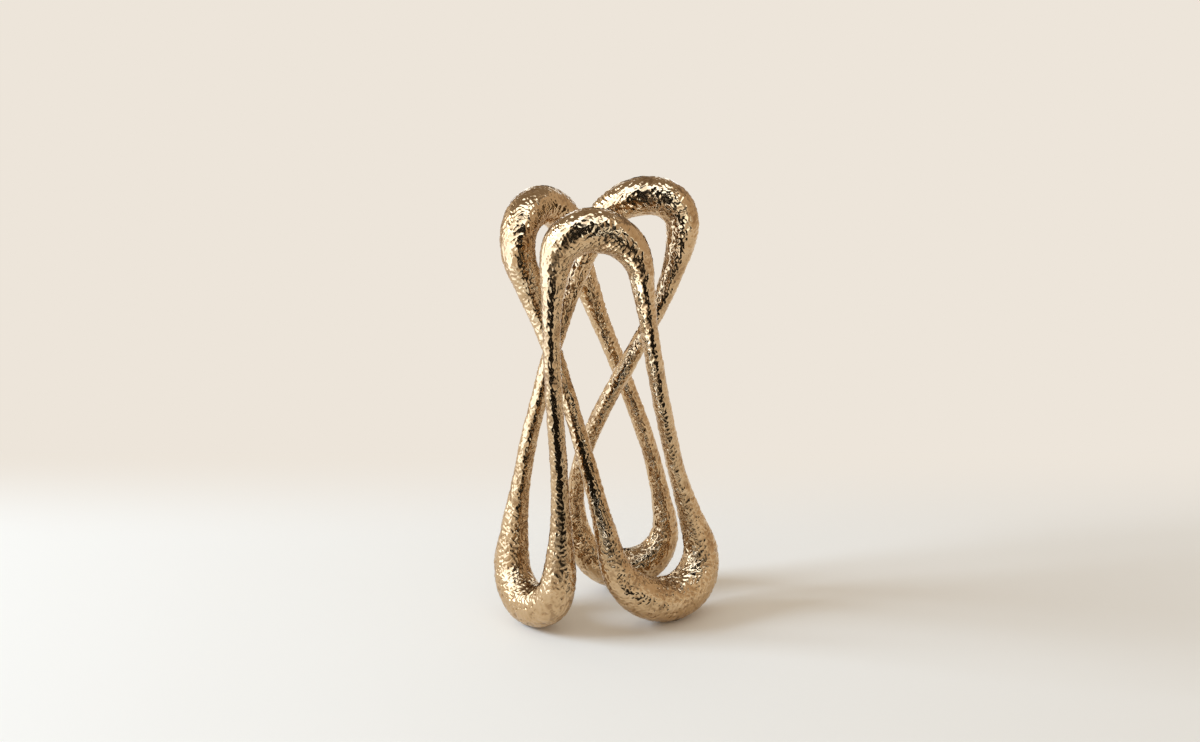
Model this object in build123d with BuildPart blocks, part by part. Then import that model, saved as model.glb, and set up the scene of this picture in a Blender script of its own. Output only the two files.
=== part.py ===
"""A standing knot of cast metal: three crown loops and three foot loops, pinned and welded at the legs."""

import os
from dataclasses import dataclass
from math import sqrt

from build123d import *

# Strand
waist_diameter = 11.5  # thin middle of every leg
strand_gap = 1.6  # clear air where two strands cross
layer_pitch = waist_diameter + strand_gap  # depth of one strand layer

# Leg joints: a dowel in two blind holes, and a weld in the groove round them
stub_length = 8.0  # straight end of a casting
weld_depth = 2.0  # depth of the V-groove, and half its width
dowel_diameter = 4.0
dowel_length = 20.0
dowel_clearance = 0.1  # on the diameter
dowel_end_room = 0.5  # left at the bottom of each hole
dowel_lead_in = 0.5  # chamfer at both ends

# Felt pads under the ground flats of the feet
pad_diameter = 10.0
pad_thickness = 1.2
pad_rim = 0.7  # flat left round a pad

side_sections = 12  # evenly spaced from the far point of a loop to its stub


@dataclass
class Bend:
    """One loop of the knot, drawn in its own plane from the far point of its centreline."""

    x: float  # place of the far point across the front
    layer: float  # its depth, in strand layers away from the viewer
    turn: float  # degrees that the loop is turned about the vertical
    tilt: float  # degrees that its upper end leans away from the viewer
    left_radius: float
    right_radius: float
    left_wrap: float  # degrees of bend from the far point to the leg
    right_wrap: float
    thickness: float  # strand diameter at the far point
    taper: float  # how soon the strand thins out, 3 slow to 10 quick
    top: float = 0.0  # overall height, for a crown


crowns = {
    "front": Bend(x=-11.5, layer=-2.7, turn=13, tilt=4, left_radius=22, right_radius=34,
                  left_wrap=81, right_wrap=82, thickness=29, taper=9.4, top=294),
    "left": Bend(x=-46.5, layer=2.15, turn=54, tilt=15, left_radius=29, right_radius=29,
                 left_wrap=104, right_wrap=86, thickness=26, taper=2.9, top=291),
    "right": Bend(x=30, layer=1.55, turn=-5, tilt=9, left_radius=42, right_radius=20.5,
                  left_wrap=70, right_wrap=97, thickness=25.5, taper=7, top=300),
}
feet = {
    "left": Bend(x=-51, layer=-2.35, turn=-51, tilt=11, left_radius=28, right_radius=24,
                 left_wrap=84, right_wrap=95, thickness=29, taper=4.8),
    "right": Bend(x=45.5, layer=-1.7, turn=35, tilt=14, left_radius=45, right_radius=28,
                  left_wrap=83, right_wrap=104, thickness=31, taper=5.5),
    "back": Bend(x=13.5, layer=2.05, turn=11, tilt=7, left_radius=33, right_radius=29,
                 left_wrap=75, right_wrap=95, thickness=28, taper=9.5),
}

# Each leg joins one side of a crown to one side of a foot
legs = [
    ("front", "left", "left", "right"),
    ("right", "left", "left", "left"),
    ("right", "right", "back", "left"),
    ("left", "right", "back", "right"),
    ("left", "left", "right", "left"),
    ("front", "right", "right", "right"),
]


def far_height(bend, is_crown):
    """Height of the centreline's far point: below the top, or above the pad's flat."""
    radius = bend.thickness / 2
    if is_crown:
        return bend.top - radius
    return pad_thickness + sqrt(radius**2 - (pad_diameter / 2 + pad_rim) ** 2)


def bend_plane(bend, is_crown):
    """The loop's own plane: X across the loop, Y outward through its far point."""
    across = Vector(1, 0, 0).rotate(Axis.Z, bend.turn)
    outward = Vector(0, 0, 1 if is_crown else -1).rotate(Axis((0, 0, 0), across), -bend.tilt)
    far_point = (bend.x, bend.layer * layer_pitch, far_height(bend, is_crown))
    return Plane(origin=far_point, x_dir=across, z_dir=across.cross(outward))


def bend_arcs(plane, bend):
    """The two arcs of a loop, each from the far point to where its leg starts."""
    with BuildLine(plane):
        left = CenterArc((0, -bend.left_radius), bend.left_radius, 90, bend.left_wrap)
        right = CenterArc((0, -bend.right_radius), bend.right_radius, 90, -bend.right_wrap)
    return {"left": left, "right": right}


def smooth_leg(start, start_direction, end, end_direction):
    """A cubic between two points that leaves each of them along its direction."""
    handle = (end - start).length / 3
    with BuildLine():
        leg = Bezier(start, start + start_direction * handle, end + end_direction * handle, end)
    return leg


def strand_stations(arc, leg, bend):
    """Point, direction and radius at each section of one side, going out from the far point."""
    side_length = arc.length + leg.length
    for step in range(1, side_sections + 1):
        share = step / side_sections
        along = share * side_length
        edge, distance = (arc, along) if along < arc.length else (leg, along - arc.length)
        swell = (1 - share**2) ** bend.taper
        radius = (waist_diameter + (bend.thickness - waist_diameter) * swell) / 2
        point = edge.position_at(distance, position_mode=PositionMode.LENGTH)
        direction = edge.tangent_at(distance, position_mode=PositionMode.LENGTH)
        yield point, direction, radius


def section_plane(point, direction, normal):
    """A plane square to the strand, with its X axis held to the loop's normal."""
    return Plane(origin=point, x_dir=direction.cross(normal).cross(direction), z_dir=direction)


os.makedirs("parts", exist_ok=True)

planes = {}
arcs = {}
for kind, bends in (("crown", crowns), ("foot", feet)):
    for name, bend in bends.items():
        planes[kind, name] = bend_plane(bend, kind == "crown")
        arcs[kind, name] = bend_arcs(planes[kind, name], bend)

# Joint planes look down the leg, from the crown to the foot
joints = {}
half_legs = {}
for crown, crown_side, foot, foot_side in legs:
    crown_arc = arcs["crown", crown][crown_side]
    foot_arc = arcs["foot", foot][foot_side]
    whole_leg = smooth_leg(crown_arc @ 1, crown_arc % 1, foot_arc @ 1, foot_arc % 1)
    joint = section_plane(whole_leg @ 0.5, whole_leg % 0.5, planes["crown", crown].z_dir)
    joints[crown, foot] = joint
    for kind, name, side, arc, way in (
        ("crown", crown, crown_side, crown_arc, -1),
        ("foot", foot, foot_side, foot_arc, 1),
    ):
        stub_start = joint.origin + joint.z_dir * (way * stub_length)
        half = smooth_leg(arc @ 1, arc % 1, stub_start, joint.z_dir * way)
        half_legs[kind, name, side] = half, Plane(joint.origin, joint.x_dir, joint.z_dir * -way)

# Castings: a swelling strand lofted round the bend, with a straight drilled stub at each end
for kind, bends in (("crown", crowns), ("foot", feet)):
    for name, bend in bends.items():
        plane = planes[kind, name]
        arc_pair = arcs[kind, name]
        left_leg, left_end = half_legs[kind, name, "left"]
        right_leg, right_end = half_legs[kind, name, "right"]
        left_side = strand_stations(arc_pair["left"], left_leg, bend)
        right_side = strand_stations(arc_pair["right"], right_leg, bend)
        stations = [(point, -direction, radius) for point, direction, radius in left_side][::-1]
        stations.append((plane.origin, plane.x_dir, bend.thickness / 2))
        stations.extend(right_side)

        with BuildPart() as casting:
            for point, direction, radius in stations:
                with BuildSketch(section_plane(point, direction, plane.z_dir)):
                    Circle(radius)
            loft()
            for end in (left_end, right_end):
                with BuildSketch(end):
                    Circle(waist_diameter / 2)
                extrude(amount=-stub_length)
                rim = casting.edges().filter_by(GeomType.CIRCLE).sort_by_distance(end.origin)[0]
                chamfer(rim, length=weld_depth)
                with Locations(end):
                    Hole(
                        radius=(dowel_diameter + dowel_clearance) / 2,
                        depth=dowel_length / 2 + dowel_end_room,
                    )
            if kind == "foot":
                split(bisect_by=Plane.XY.offset(pad_thickness), keep=Keep.TOP)
        casting.part.label = f"{kind}_{name}"
        export_step(casting.part, f"parts/{kind}_{name}.step")

# Weld rings: the groove's own triangle, turned about the leg
for (crown, foot), joint in joints.items():
    with BuildPart() as weld:
        with BuildSketch(Plane(origin=joint.origin, x_dir=joint.x_dir, z_dir=joint.y_dir)):
            with BuildLine():
                Polyline(
                    (waist_diameter / 2 - weld_depth, 0),
                    (waist_diameter / 2, -weld_depth),
                    (waist_diameter / 2, weld_depth),
                    close=True,
                )
            make_face()
        revolve(axis=Axis(joint.origin, joint.z_dir))
    weld.part.label = f"weld_{crown}_{foot}"
    export_step(weld.part, f"parts/weld_{crown}_{foot}.step")

# Dowel pins, half in each casting, with a lead-in chamfer at both ends
for (crown, foot), joint in joints.items():
    with BuildPart() as dowel:
        with BuildSketch(joint.offset(-dowel_length / 2)):
            Circle(dowel_diameter / 2)
        extrude(amount=dowel_length)
        chamfer(dowel.edges().filter_by(GeomType.CIRCLE), length=dowel_lead_in)
    dowel.part.label = f"dowel_{crown}_{foot}"
    export_step(dowel.part, f"parts/dowel_{crown}_{foot}.step")

# Felt pads
for name, foot in feet.items():
    with BuildPart() as pad:
        with BuildSketch():
            with Locations((foot.x, foot.layer * layer_pitch)):
                Circle(pad_diameter / 2)
        extrude(amount=pad_thickness)
    pad.part.label = f"pad_{name}"
    export_step(pad.part, f"parts/pad_{name}.step")
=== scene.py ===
import math

import bmesh
import bpy
import numpy as np
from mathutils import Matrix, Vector


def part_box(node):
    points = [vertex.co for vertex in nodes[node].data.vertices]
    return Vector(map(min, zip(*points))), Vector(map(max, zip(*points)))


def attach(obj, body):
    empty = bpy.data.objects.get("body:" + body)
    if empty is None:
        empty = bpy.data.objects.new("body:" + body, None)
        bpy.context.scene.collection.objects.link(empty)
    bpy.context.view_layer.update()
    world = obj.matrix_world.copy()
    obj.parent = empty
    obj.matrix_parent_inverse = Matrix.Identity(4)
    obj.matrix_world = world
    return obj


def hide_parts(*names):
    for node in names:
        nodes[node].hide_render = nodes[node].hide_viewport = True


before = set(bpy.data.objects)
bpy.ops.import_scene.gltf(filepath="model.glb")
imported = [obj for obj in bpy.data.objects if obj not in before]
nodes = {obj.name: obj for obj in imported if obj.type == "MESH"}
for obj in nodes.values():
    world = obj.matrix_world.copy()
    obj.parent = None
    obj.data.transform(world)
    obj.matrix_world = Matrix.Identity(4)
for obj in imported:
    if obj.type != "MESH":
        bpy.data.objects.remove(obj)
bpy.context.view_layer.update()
scene = bpy.context.scene
print("frame:", len(nodes), "CAD nodes")


def addNode(tree, kind, **values):
    node = tree.nodes.new(kind)
    for key, value in values.items():
        if key in node.inputs:
            node.inputs[key].default_value = value
        else:
            setattr(node, key, value)
    return node


def newMaterial(name):
    material = bpy.data.materials.new(name)
    material.use_nodes = True
    tree = material.node_tree
    return material, tree, tree.nodes["Principled BSDF"]


def objectPlace(tree):
    return addNode(tree, "ShaderNodeTexCoord").outputs["Object"]


def noise(tree, place, **values):
    node = addNode(tree, "ShaderNodeTexNoise", **values)
    tree.links.new(place, node.inputs["Vector"])
    return node.outputs["Fac"]


def mapped(tree, source, span, newSpan=(0, 1), **values):
    node = addNode(tree, "ShaderNodeMapRange", **values)
    for socket, value in zip(node.inputs[1:5], (*span, *newSpan)):
        socket.default_value = value
    tree.links.new(source, node.inputs[0])
    return node.outputs[0]


def ramped(tree, source, tones):
    node = addNode(tree, "ShaderNodeValToRGB")
    ramp = node.color_ramp
    while len(ramp.elements) < len(tones):
        ramp.elements.new(0.5)  # gets its own level below
    for element, (level, colour) in zip(ramp.elements, tones):
        element.position = level
        element.color = (*colour, 1)
    tree.links.new(source, node.inputs[0])
    return node.outputs[0]


def combined(tree, operation, first, second):
    node = addNode(tree, "ShaderNodeMath", operation=operation)
    tree.links.new(first, node.inputs[0])
    tree.links.new(second, node.inputs[1])
    return node.outputs[0]


def bumped(tree, height, under=None, **values):
    node = addNode(tree, "ShaderNodeBump", **values)
    tree.links.new(height, node.inputs["Height"])
    if under is not None:
        tree.links.new(under, node.inputs["Normal"])
    return node.outputs[0]


def surfaceMix(tree, share, first, second):
    node = addNode(tree, "ShaderNodeMixShader")
    for source, socket in zip((share, first, second), node.inputs):
        tree.links.new(source, socket)
    tree.links.new(node.outputs[0], tree.nodes["Material Output"].inputs["Surface"])


# gold-toned cast metal, with noise scales per metre and bump distances in metres
castGold = {
    "tones": [  # crest level and colour
        (0.0, (0.43, 0.275, 0.145)),  # toner left in the creases
        (0.3, (0.60, 0.410, 0.224)),
        (0.95, (0.68, 0.488, 0.290)),  # rubbed high spots
    ],
    "roughLevels": (0.1, 0.8),  # crest levels between which the roughness runs
    "roughness": (0.20, 0.10),  # in the hollows and on the crests
    "mottle": {"Scale": 60.0, "Detail": 4.0, "Roughness": 0.6},
    "mottleLevels": (0.3, 0.7),
    "mottleShift": (-0.12, 0.12),  # added to the crest level
    "crease": {"noise_type": "RIDGED_MULTIFRACTAL", "Scale": 420.0, "Detail": 2.0},
    "creaseBump": {"Distance": 0.00016, "Strength": 0.5},
    "grain": {"Scale": 1500.0, "Detail": 3.0, "Roughness": 0.6},
    "grainBump": {"Distance": 0.00004, "Strength": 0.15},
}


def makeCastGold():
    look = castGold
    material, tree, shader = newMaterial("castGold")
    link = tree.links.new
    place = objectPlace(tree)
    crest = addNode(tree, "ShaderNodeAttribute", attribute_name="crest").outputs["Fac"]
    mottle = noise(tree, place, **look["mottle"])
    shift = mapped(tree, mottle, look["mottleLevels"], look["mottleShift"])
    level = combined(tree, "ADD", crest, shift)
    link(ramped(tree, level, look["tones"]), shader.inputs["Base Color"])
    shader.inputs["Metallic"].default_value = 1.0
    rough = mapped(tree, level, look["roughLevels"], look["roughness"])
    link(rough, shader.inputs["Roughness"])
    creased = bumped(tree, noise(tree, place, **look["crease"]), **look["creaseBump"])
    grain = noise(tree, place, **look["grain"])
    link(bumped(tree, grain, creased, **look["grainBump"]), shader.inputs["Normal"])
    return material


# felt under the feet
felt = {
    "tones": [(0.3, (0.045, 0.038, 0.033)), (0.7, (0.13, 0.11, 0.095))],  # fibre level, colour
    "roughness": 0.95,
    "sheen": 0.3,
    "fibre": {"Scale": 2600.0, "Detail": 4.0, "Distortion": 1.2},
    "fibreBump": {"Distance": 0.0002, "Strength": 0.7},
}


def makeFelt():
    material, tree, shader = newMaterial("felt")
    link = tree.links.new
    fibre = noise(tree, objectPlace(tree), **felt["fibre"])
    link(ramped(tree, fibre, felt["tones"]), shader.inputs["Base Color"])
    shader.inputs["Roughness"].default_value = felt["roughness"]
    shader.inputs["Sheen Weight"].default_value = felt["sheen"]
    link(bumped(tree, fibre, **felt["fibreBump"]), shader.inputs["Normal"])
    return material


# ground steel rod of the dowels
rodSteel = {
    "tones": [(0.35, (0.42, 0.42, 0.43)), (0.65, (0.62, 0.62, 0.63))],  # grind level, colour
    "grind": {"Scale": 3000.0, "Detail": 2.0},
    "grindLevels": (0.3, 0.7),
    "roughness": (0.25, 0.4),
}


def makeRodSteel():
    material, tree, shader = newMaterial("rodSteel")
    link = tree.links.new
    grind = noise(tree, objectPlace(tree), **rodSteel["grind"])
    link(ramped(tree, grind, rodSteel["tones"]), shader.inputs["Base Color"])
    shader.inputs["Metallic"].default_value = 1.0
    rough = mapped(tree, grind, rodSteel["grindLevels"], rodSteel["roughness"])
    link(rough, shader.inputs["Roughness"])
    return material


goldMetal = makeCastGold()
feltCloth = makeFelt()
steelRod = makeRodSteel()
print("materials: cast gold, felt, rod steel")

# crinkled skin over the whole strand, with lengths in metres
skin = {
    "mergeGap": 0.000002,  # closes the loose triangles of the CAD meshes
    "voxel": 0.00055,
    "smoothSteps": 6,
    "layers": [
        # name, texture, size and strength, direction and stretch of the pattern
        ("lump", "CLOUDS", 0.014, 0.00095, (0, 0, 1), 1.0),
        ("foldUp", "MUSGRAVE", 0.0031, 0.00036, (1, 0.4, 1), 2.2),
        ("foldDown", "MUSGRAVE", 0.0028, -0.00034, (-1, 0.6, 1), 2.2),
        ("crease", "MUSGRAVE", 0.0019, 0.00010, (0, 0, 1), 1.0),
        ("pit", "CLOUDS", 0.0030, 0.00045, (0, 0, 1), 1.0),
    ],
    "cloudDepth": 1,
    "ridgeOctaves": 1.5,
    "pitEdge": (0.28, 0.40),  # noise levels from the floor of a pit to its rim
    "pitZone": (0.06, 0.15),  # heights between which the pits get shallower
    "pitShare": (1.0, 0.2),  # share of their depth at those heights
    "pitSteps": 10,  # steps that the share is rounded to
    "crestSpan": 0.0003,  # a full crest or hollow lies this far from the middle
}


def meshObject(name, bm):
    mesh = bpy.data.meshes.new(name)
    bm.to_mesh(mesh)
    bm.free()
    obj = bpy.data.objects.new(name, mesh)
    scene.collection.objects.link(obj)
    return obj


def joinedStrand():
    bm = bmesh.new()
    for name, node in nodes.items():
        if not name.startswith("pad_"):
            bm.from_mesh(node.data)
    bmesh.ops.remove_doubles(bm, verts=bm.verts, dist=skin["mergeGap"])
    return meshObject("strand", bm)


def applied(obj):
    depsgraph = bpy.context.evaluated_depsgraph_get()
    mesh = bpy.data.meshes.new_from_object(obj.evaluated_get(depsgraph), depsgraph=depsgraph)
    obj.modifiers.clear()
    obj.data = mesh
    return mesh


def coordinates(mesh, what="co"):
    flat = np.empty(len(mesh.vertices) * 3)
    mesh.vertices.foreach_get(what, flat)
    return flat.reshape(-1, 3)


def evenOut(strand):
    remesh = strand.modifiers.new("remesh", "REMESH")
    remesh.mode = "VOXEL"
    remesh.voxel_size = skin["voxel"]
    smooth = strand.modifiers.new("smooth", "SMOOTH")
    smooth.iterations = skin["smoothSteps"]
    return applied(strand)


def weighPits(strand, heights):
    group = strand.vertex_groups.new(name="pitZone")
    share = np.interp(heights, skin["pitZone"], skin["pitShare"])
    nearest = np.round(share * skin["pitSteps"])
    for step in range(skin["pitSteps"] + 1):
        points = np.flatnonzero(nearest == step).tolist()
        group.add(points, step / skin["pitSteps"], "REPLACE")


def makeTexture(name, kind, size):
    texture = bpy.data.textures.new(name, kind)
    texture.noise_scale = size
    if kind == "CLOUDS":
        texture.noise_depth = skin["cloudDepth"]
    else:
        texture.musgrave_type = "RIDGED_MULTIFRACTAL"
        texture.octaves = skin["ridgeOctaves"]
    if name == "pit":
        texture.use_color_ramp = True
        dip, level = texture.color_ramp.elements
        dip.color, level.color = (0, 0, 0, 1), (1, 1, 1, 1)
        dip.position, level.position = skin["pitEdge"]
    return texture


# an empty that turns and stretches a pattern while it is applied
def patternGuide(direction, stretch):
    guide = bpy.data.objects.new("guide", None)
    guide.rotation_euler = Vector(direction).to_track_quat("X", "Y").to_euler()
    guide.scale = (stretch, 1, 1)
    scene.collection.objects.link(guide)
    return guide


def crinkle(strand):
    guides = []
    for name, kind, size, strength, direction, stretch in skin["layers"]:
        guides.append(patternGuide(direction, stretch))
        displace = strand.modifiers.new(name, "DISPLACE")
        displace.texture = makeTexture(name, kind, size)
        displace.texture_coords = "OBJECT"
        displace.texture_coords_object = guides[-1]
        displace.strength = strength
        displace.mid_level = 1.0 if name == "pit" else 0.5  # pits only go inwards
        displace.vertex_group = "pitZone" if name == "pit" else ""
    mesh = applied(strand)
    for guide in guides:
        bpy.data.objects.remove(guide)
    return mesh


strand = joinedStrand()
plain = evenOut(strand)
plainPoints, plainNormals = coordinates(plain), coordinates(plain, "normal")
print("skin: plain,", len(plain.polygons), "faces")

weighPits(strand, plainPoints[:, 2])
crinkled = crinkle(strand)
heights = ((coordinates(crinkled) - plainPoints) * plainNormals).sum(1)
heights -= np.median(heights)
crest = np.clip(0.5 + heights / skin["crestSpan"] / 2, 0, 1).astype(np.float32)
crinkled.attributes.new("crest", "FLOAT", "POINT").data.foreach_set("value", crest)
lowest, highest = (round(height * 1000, 2) for height in (heights.min(), heights.max()))
print("skin: crinkled, heights from", lowest, "to", highest, "mm")

# the skin is cut at both edges of each weld, and the cut ends are closed inside the groove
weldCut = {
    "half": 0.002,  # half the width of a weld band
    "reach": 0.0054,  # faces this near a joint along the leg
    "radius": 0.0072,  # and this near its axis are cut
    "snap": 0.00001,
    "root": 0.00375,  # radius at the bottom of the groove
    "rootGap": 0.00005,  # kept clear there
}


def only(kind, geometry):
    return [g for g in geometry if isinstance(g, kind)]


# middle of a dowel, and the direction in which it is long
def dowelLine(node):
    points = coordinates(node.data)
    low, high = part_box(node.name)
    spread = points - points.mean(0)
    longest = np.linalg.eigh(spread.T @ spread)[1][:, 2]
    return (low + high) / 2, Vector(longest).normalized()


dowelLines = {name: dowelLine(node) for name, node in nodes.items() if name.startswith("dowel_")}


def legFaces(bm, centre, axis):
    found = []
    for face in bm.faces:
        away = face.calc_center_median() - centre
        along = away.dot(axis)
        if abs(along) < weldCut["reach"] and (away - axis * along).length < weldCut["radius"]:
            found.append(face)
    return found


def cutAtWelds(bm):
    for centre, axis in dowelLines.values():
        for side in (-1, 1):
            near = legFaces(bm, centre, axis)
            geometry = set(near)
            for face in near:
                geometry.update(face.verts, face.edges)
            cut = bmesh.ops.bisect_plane(
                bm,
                geom=list(geometry),
                plane_co=centre + axis * side * weldCut["half"],
                plane_no=axis,
                dist=weldCut["snap"],
            )
            bmesh.ops.split_edges(bm, edges=only(bmesh.types.BMEdge, cut["geom_cut"]))


def separated(strand):
    bpy.ops.object.select_all(action="DESELECT")
    bpy.context.view_layer.objects.active = strand
    strand.select_set(True)
    bpy.ops.mesh.separate(type="LOOSE")
    return [o for o in scene.objects if o.type == "MESH" and o.name.startswith("strand")]


whole = bmesh.new()
whole.from_mesh(crinkled)
cutAtWelds(whole)
whole.to_mesh(crinkled)
whole.free()
cutPieces = separated(strand)
print("skin: cut into", len(cutPieces), "pieces")


# the open edges, one list for each end, taken in the mesh's own order
def rims(bm):
    left = dict.fromkeys(e for e in bm.edges if e.is_boundary)
    while left:
        rim, front = [], [left.popitem()[0]]
        while front:
            edge = front.pop()
            rim.append(edge)
            for vert in edge.verts:
                for other in vert.link_edges:
                    if other in left:
                        del left[other]
                        front.append(other)
        yield rim


def closeEnds(bm, isWeld):
    roots = []
    for rim in list(rims(bm)):
        middle = sum((v.co for e in rim for v in e.verts), Vector()) / (2 * len(rim))
        centre, axis = min(dowelLines.values(), key=lambda line: (line[0] - middle).length)
        towards = 1 if (middle - centre).dot(axis) > 0 else -1
        for edge in rim:
            edge.smooth = False
        grown = bmesh.ops.extrude_edge_only(bm, edges=rim)["geom"]
        for vert in only(bmesh.types.BMVert, grown):
            away = vert.co - centre
            out = (away - axis * away.dot(axis)).normalized()
            vert.co = centre + out * weldCut["root"] + axis * towards * weldCut["rootGap"]
        root = [e for e in only(bmesh.types.BMEdge, grown) if e.is_boundary]
        roots.append(root)
        if not isWeld:
            bmesh.ops.holes_fill(bm, edges=root)
    if isWeld:
        bmesh.ops.bridge_loops(bm, edges=roots[0] + roots[1])
    bmesh.ops.recalc_face_normals(bm, faces=bm.faces)


def nearestNode(piece):
    points = coordinates(piece.data)
    low, high = Vector(points.min(0)), Vector(points.max(0))
    names = [n for n in nodes if n.startswith(("crown_", "foot_", "weld_"))]
    return min(names, key=lambda n: (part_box(n)[0] - low).length + (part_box(n)[1] - high).length)


def dress(obj, material):
    obj.data.materials.clear()
    obj.data.materials.append(material)


for piece in cutPieces:
    name = nearestNode(piece)
    isWeld = name.startswith("weld_")
    bm = bmesh.new()
    bm.from_mesh(piece.data)
    closeEnds(bm, isWeld)
    for face in bm.faces:
        face.smooth = True
    bm.to_mesh(piece.data)
    bm.free()
    piece.name = piece.data.name = name + "Skin"
    dress(piece, goldMetal)
    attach(piece, "root")
    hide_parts(name)
    print("piece:", name, len(piece.data.polygons), "faces")

for name, node in nodes.items():
    if name.startswith("pad_"):
        dress(node, feltCloth)
    elif name.startswith("dowel_"):
        dress(node, steelRod)
print("pads and dowels: felt and rod steel")

# cream floor that turns into the warmer backdrop
floor = {
    "radius": 9.0,
    "segments": 96,
    "paper": (0.91, 0.905, 0.89),
    "roughness": 0.9,
    "specular": 0.1,
    "backdrop": (0.847, 0.783, 0.701),
    "turnBehind": (0.10, 0.28),  # distances behind the knot between which it turns
    "turnRound": (0.42, 0.85),  # and the same on every side
}


def stageObject(name, bm, material):
    obj = meshObject(name, bm)
    obj.data.materials.append(material)
    return obj


# 1 for what the camera and reflections see, 0 for the light that lands on things
def seenRays(tree):
    rays = addNode(tree, "ShaderNodeLightPath").outputs
    mirrored = combined(tree, "MAXIMUM", rays["Is Glossy Ray"], rays["Is Transmission Ray"])
    return combined(tree, "MAXIMUM", rays["Is Camera Ray"], mirrored)


def makeFloor():
    material, tree, shader = newMaterial("floorPaper")
    shader.inputs["Base Color"].default_value = (*floor["paper"], 1)
    shader.inputs["Roughness"].default_value = floor["roughness"]
    shader.inputs["Specular IOR Level"].default_value = floor["specular"]
    backdrop = addNode(tree, "ShaderNodeEmission", Color=(*floor["backdrop"], 1), Strength=1.0)
    place = objectPlace(tree)
    split = addNode(tree, "ShaderNodeSeparateXYZ")
    tree.links.new(place, split.inputs[0])
    reach = addNode(tree, "ShaderNodeVectorMath", operation="LENGTH")
    tree.links.new(place, reach.inputs[0])
    soft = {"interpolation_type": "SMOOTHSTEP"}
    behind = mapped(tree, split.outputs["Y"], floor["turnBehind"], **soft)
    allRound = mapped(tree, reach.outputs["Value"], floor["turnRound"], **soft)
    turned = combined(tree, "MAXIMUM", behind, allRound)
    share = combined(tree, "MULTIPLY", turned, seenRays(tree))
    surfaceMix(tree, share, shader.outputs[0], backdrop.outputs[0])
    bm = bmesh.new()
    bmesh.ops.create_circle(
        bm, cap_ends=True, segments=floor["segments"], radius=floor["radius"]
    )
    stageObject("floor", bm, material)


# pale walls of the studio
walls = {
    "fill": (0.615, 0.53, 0.425),  # light that they give
    "pale": (0.838, 0.776, 0.687),  # how they are seen
}


def makeWorld():
    world = bpy.data.worlds.new("studio")
    scene.world = world
    world.use_nodes = True
    tree = world.node_tree
    link = tree.links.new
    tree.nodes.clear()
    seen = addNode(tree, "ShaderNodeMix", data_type="RGBA")
    link(seenRays(tree), seen.inputs["Factor"])
    fill, pale = seen.inputs[6:8]  # the Mix node's two colours
    fill.default_value = (*walls["fill"], 1)
    pale.default_value = (*walls["pale"], 1)
    background = addNode(tree, "ShaderNodeBackground", Strength=1.0)
    link(seen.outputs[2], background.inputs["Color"])  # its mixed colour
    link(background.outputs[0], addNode(tree, "ShaderNodeOutputWorld").inputs[0])


# a soft box on the left, and a strip before the front crown that only gloss shows
lamps = {
    "softBox": {
        "place": (-2.77, -0.097, 1.60),
        "aim": (0.0, 0.0, 0.08),
        "size": (1.3, 1.3),
        "power": 94.0,
        "colour": (0.70, 0.85, 1.0),
        "glossOnly": False,
    },
    "stripLight": {
        "place": (-0.008, -0.108, 0.170),
        "aim": (0.10, -0.108, 0.170),
        "size": (0.08, 0.21),
        "power": 0.16,
        "colour": (0.68, 0.80, 1.0),
        "glossOnly": True,
    },
}


def makeLamp(name):
    look = lamps[name]
    light = bpy.data.lights.new(name, "AREA")
    light.shape = "RECTANGLE"
    light.size, light.size_y = look["size"]
    light.energy, light.color = look["power"], look["colour"]
    lamp = bpy.data.objects.new(name, light)
    lamp.location = look["place"]
    back = lamp.location - Vector(look["aim"])
    lamp.rotation_euler = back.to_track_quat("Z", "Y").to_euler()
    lamp.visible_camera = False
    lamp.visible_diffuse = not look["glossOnly"]
    scene.collection.objects.link(lamp)


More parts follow.
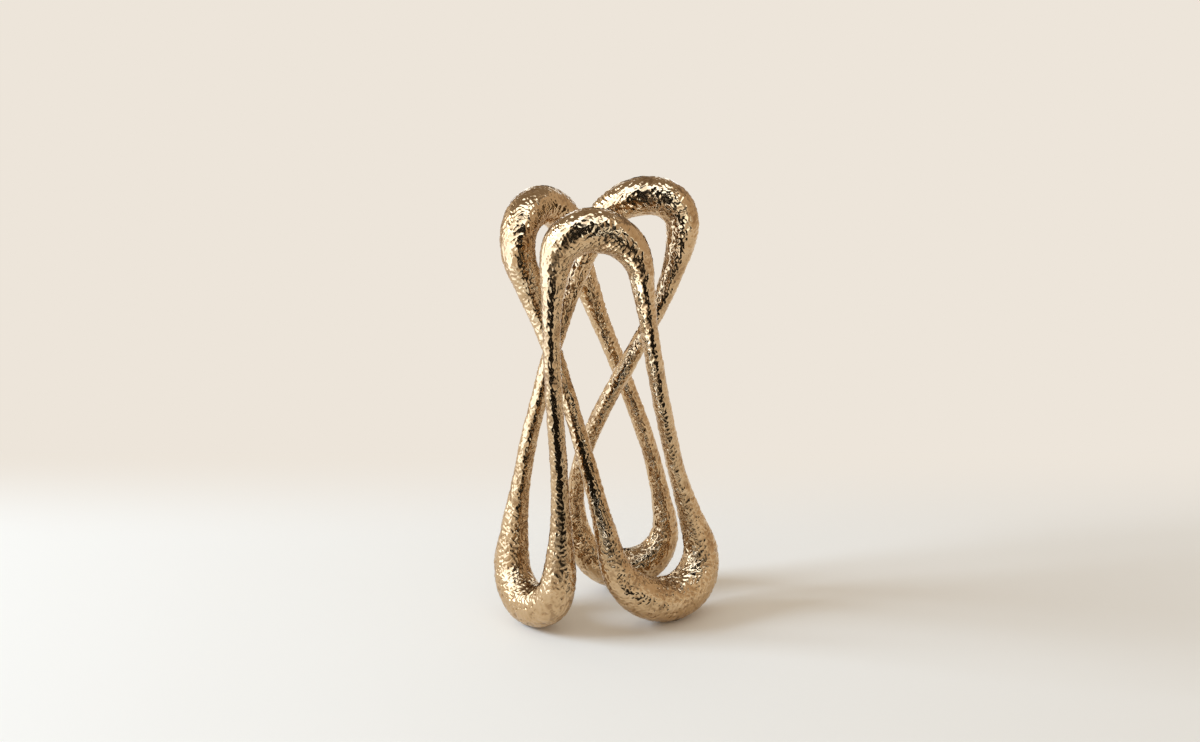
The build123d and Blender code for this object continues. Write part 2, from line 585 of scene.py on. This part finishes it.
# white, dim and dark cards that only the metal sees
cards = {
    "cuts": 19,  # across and up, for the soft edges
    "again": 0.10,  # share of a card's glow left in a second reflection
    "tints": {
        "dark": (1, 0.9, 0.8),
        "dim": (1.0, 0.82, 0.63),
        "white": (0.80, 0.90, 1.0),
        "coolWhite": (0.76, 0.90, 1.12),
    },
    "rows": [
        # name, tint, glow, share of each edge that fades out
        # first corner, one edge, other edge
        ("darkFront", "dark", 0.012, (0.06, 0.08),
         (-0.10, -0.22, 0.225), (0.44, 0, 0), (0, 0, 0.43)),
        ("darkLeftLeg", "dark", 0.012, (0.12, 0.2),
         (-0.072, -0.08, 0.04), (0.050, 0, 0), (0.012, -0.002, 0.25)),
        ("darkMidLeg", "dark", 0.012, (0.12, 0.2),
         (-0.04, -0.095, 0.03), (0.08, 0, 0), (-0.035, 0.01, 0.13)),
        ("darkRightLeg", "dark", 0.012, (0.06, 0.12),
         (0.029, -0.073, 0.045), (0.098, -0.008, 0), (-0.057, -0.021, 0.265)),
        ("darkFoot", "dark", 0.02, (0.15, 0.2),
         (0.0, -0.095, 0.004), (0.09, 0, 0), (0, 0, 0.032)),
        ("whiteLow", "white", 1.3, (0.1, 0.1),
         (-0.40, -0.44, 0.02), (0.28, 0, 0), (0, 0.27, 0)),
        ("whiteRight", "white", 2.5, (0.12, 0.12),
         (0.075, -0.205, 0.255), (0.13, 0.045, 0), (0, 0, 0.13)),
        ("whiteLeft", "coolWhite", 2.6, (0.1, 0.1),
         (-0.26, -0.25, 0.06), (0, 0.32, 0), (0, 0, 0.37)),
        ("whiteFront", "coolWhite", 3.2, (0.1, 0.1),
         (-0.37, -0.155, 0.29), (0.22, -0.12, 0), (0, 0, 0.44)),
        ("whiteTop", "coolWhite", 3.4, (0.1, 0.1),
         (-0.34, -0.35, 0.74), (0.70, 0, 0), (0, 0.34, 0)),
        ("dimCeiling", "dim", 0.30, (0.05, 0.05),
         (-1.2, -0.07, 1.1), (2.4, 0, 0), (0, 1.4, 0)),
        ("dimBack", "dim", 0.44, (0.05, 0.05),
         (-1.2, 1.3, 0.0), (2.4, 0, 0), (0, 0, 1.1)),
        ("dimRight", "dim", 0.60, (0.05, 0.05),
         (0.9, -0.5, 0.0), (0, 1.8, 0), (0, 0, 1.1)),
        ("darkBack", "dark", 0.02, (0.1, 0.1),
         (-0.05, 0.40, 0.0), (0.09, 0, 0), (0, 0.05, 0.45)),
        ("whiteBackLeft", "white", 2.2, (0.1, 0.1),
         (0.06, 0.42, 0.0), (0.09, 0, 0), (0, 0.05, 0.5)),
        ("whiteBackRight", "white", 2.2, (0.1, 0.1),
         (-0.17, 0.42, 0.0), (0.09, 0, 0), (0, 0.05, 0.5)),
    ],
}


def makeCardLight(name, tint, glow):
    material, tree, shader = newMaterial(name)
    tree.nodes.remove(shader)
    light = addNode(tree, "ShaderNodeEmission", Color=(*cards["tints"][tint], 1))
    bounces = addNode(tree, "ShaderNodeLightPath").outputs["Glossy Depth"]
    strength = mapped(tree, bounces, (1.0, 2.0), (glow, glow * cards["again"]))
    tree.links.new(strength, light.inputs["Strength"])
    inside = addNode(tree, "ShaderNodeAttribute", attribute_name="inside").outputs["Fac"]
    clear = addNode(tree, "ShaderNodeBsdfTransparent")
    surfaceMix(tree, inside, clear.outputs[0], light.outputs[0])
    return material


def makeCard(name, tint, glow, edgeFades, corner, across, up):
    corner, across, up = Vector(corner), Vector(across), Vector(up)
    bm = bmesh.new()
    ends = [bm.verts.new(corner), bm.verts.new(corner + across)]
    grown = bmesh.ops.extrude_edge_only(bm, edges=[bm.edges.new(ends)])["geom"]
    bmesh.ops.translate(bm, verts=only(bmesh.types.BMVert, grown), vec=up)
    bmesh.ops.subdivide_edges(bm, edges=bm.edges, cuts=cards["cuts"], use_grid_fill=True)
    inside = bm.verts.layers.float.new("inside")
    for vert in bm.verts:
        level = 1
        for edge, fade in zip((across, up), edgeFades):
            share = (vert.co - corner).dot(edge) / edge.length_squared
            level *= min(1, min(share, 1 - share) / fade)
        vert[inside] = max(0, level)
    card = stageObject(name, bm, makeCardLight(name, tint, glow))
    card.visible_camera = card.visible_diffuse = card.visible_shadow = False


# camera that looks down on the knot a little, as in the photograph
camera = {
    "target": (-0.0045, 0.0047, 0.170),
    "distance": 1.45,
    "pitch": 20.0,  # degrees
    "lens": 64.92,
    "sensor": 36.0,
    "clip": (0.01, 50.0),
}


def makeCamera():
    data = bpy.data.cameras.new("camera")
    data.sensor_fit = "HORIZONTAL"
    data.sensor_width, data.lens = camera["sensor"], camera["lens"]
    data.clip_start, data.clip_end = camera["clip"]
    obj = bpy.data.objects.new("camera", data)
    pitch = math.radians(camera["pitch"])
    back = Vector((0, -math.cos(pitch), math.sin(pitch))) * camera["distance"]
    obj.location = Vector(camera["target"]) + back
    obj.rotation_euler = (math.pi / 2 - pitch, 0, 0)
    scene.collection.objects.link(obj)
    scene.camera = obj


makeFloor()
makeWorld()
for name in lamps:
    makeLamp(name)
for row in cards["rows"]:
    makeCard(*row)
makeCamera()
scene.view_settings.view_transform = "Standard"
print("stage: floor, studio, camera")
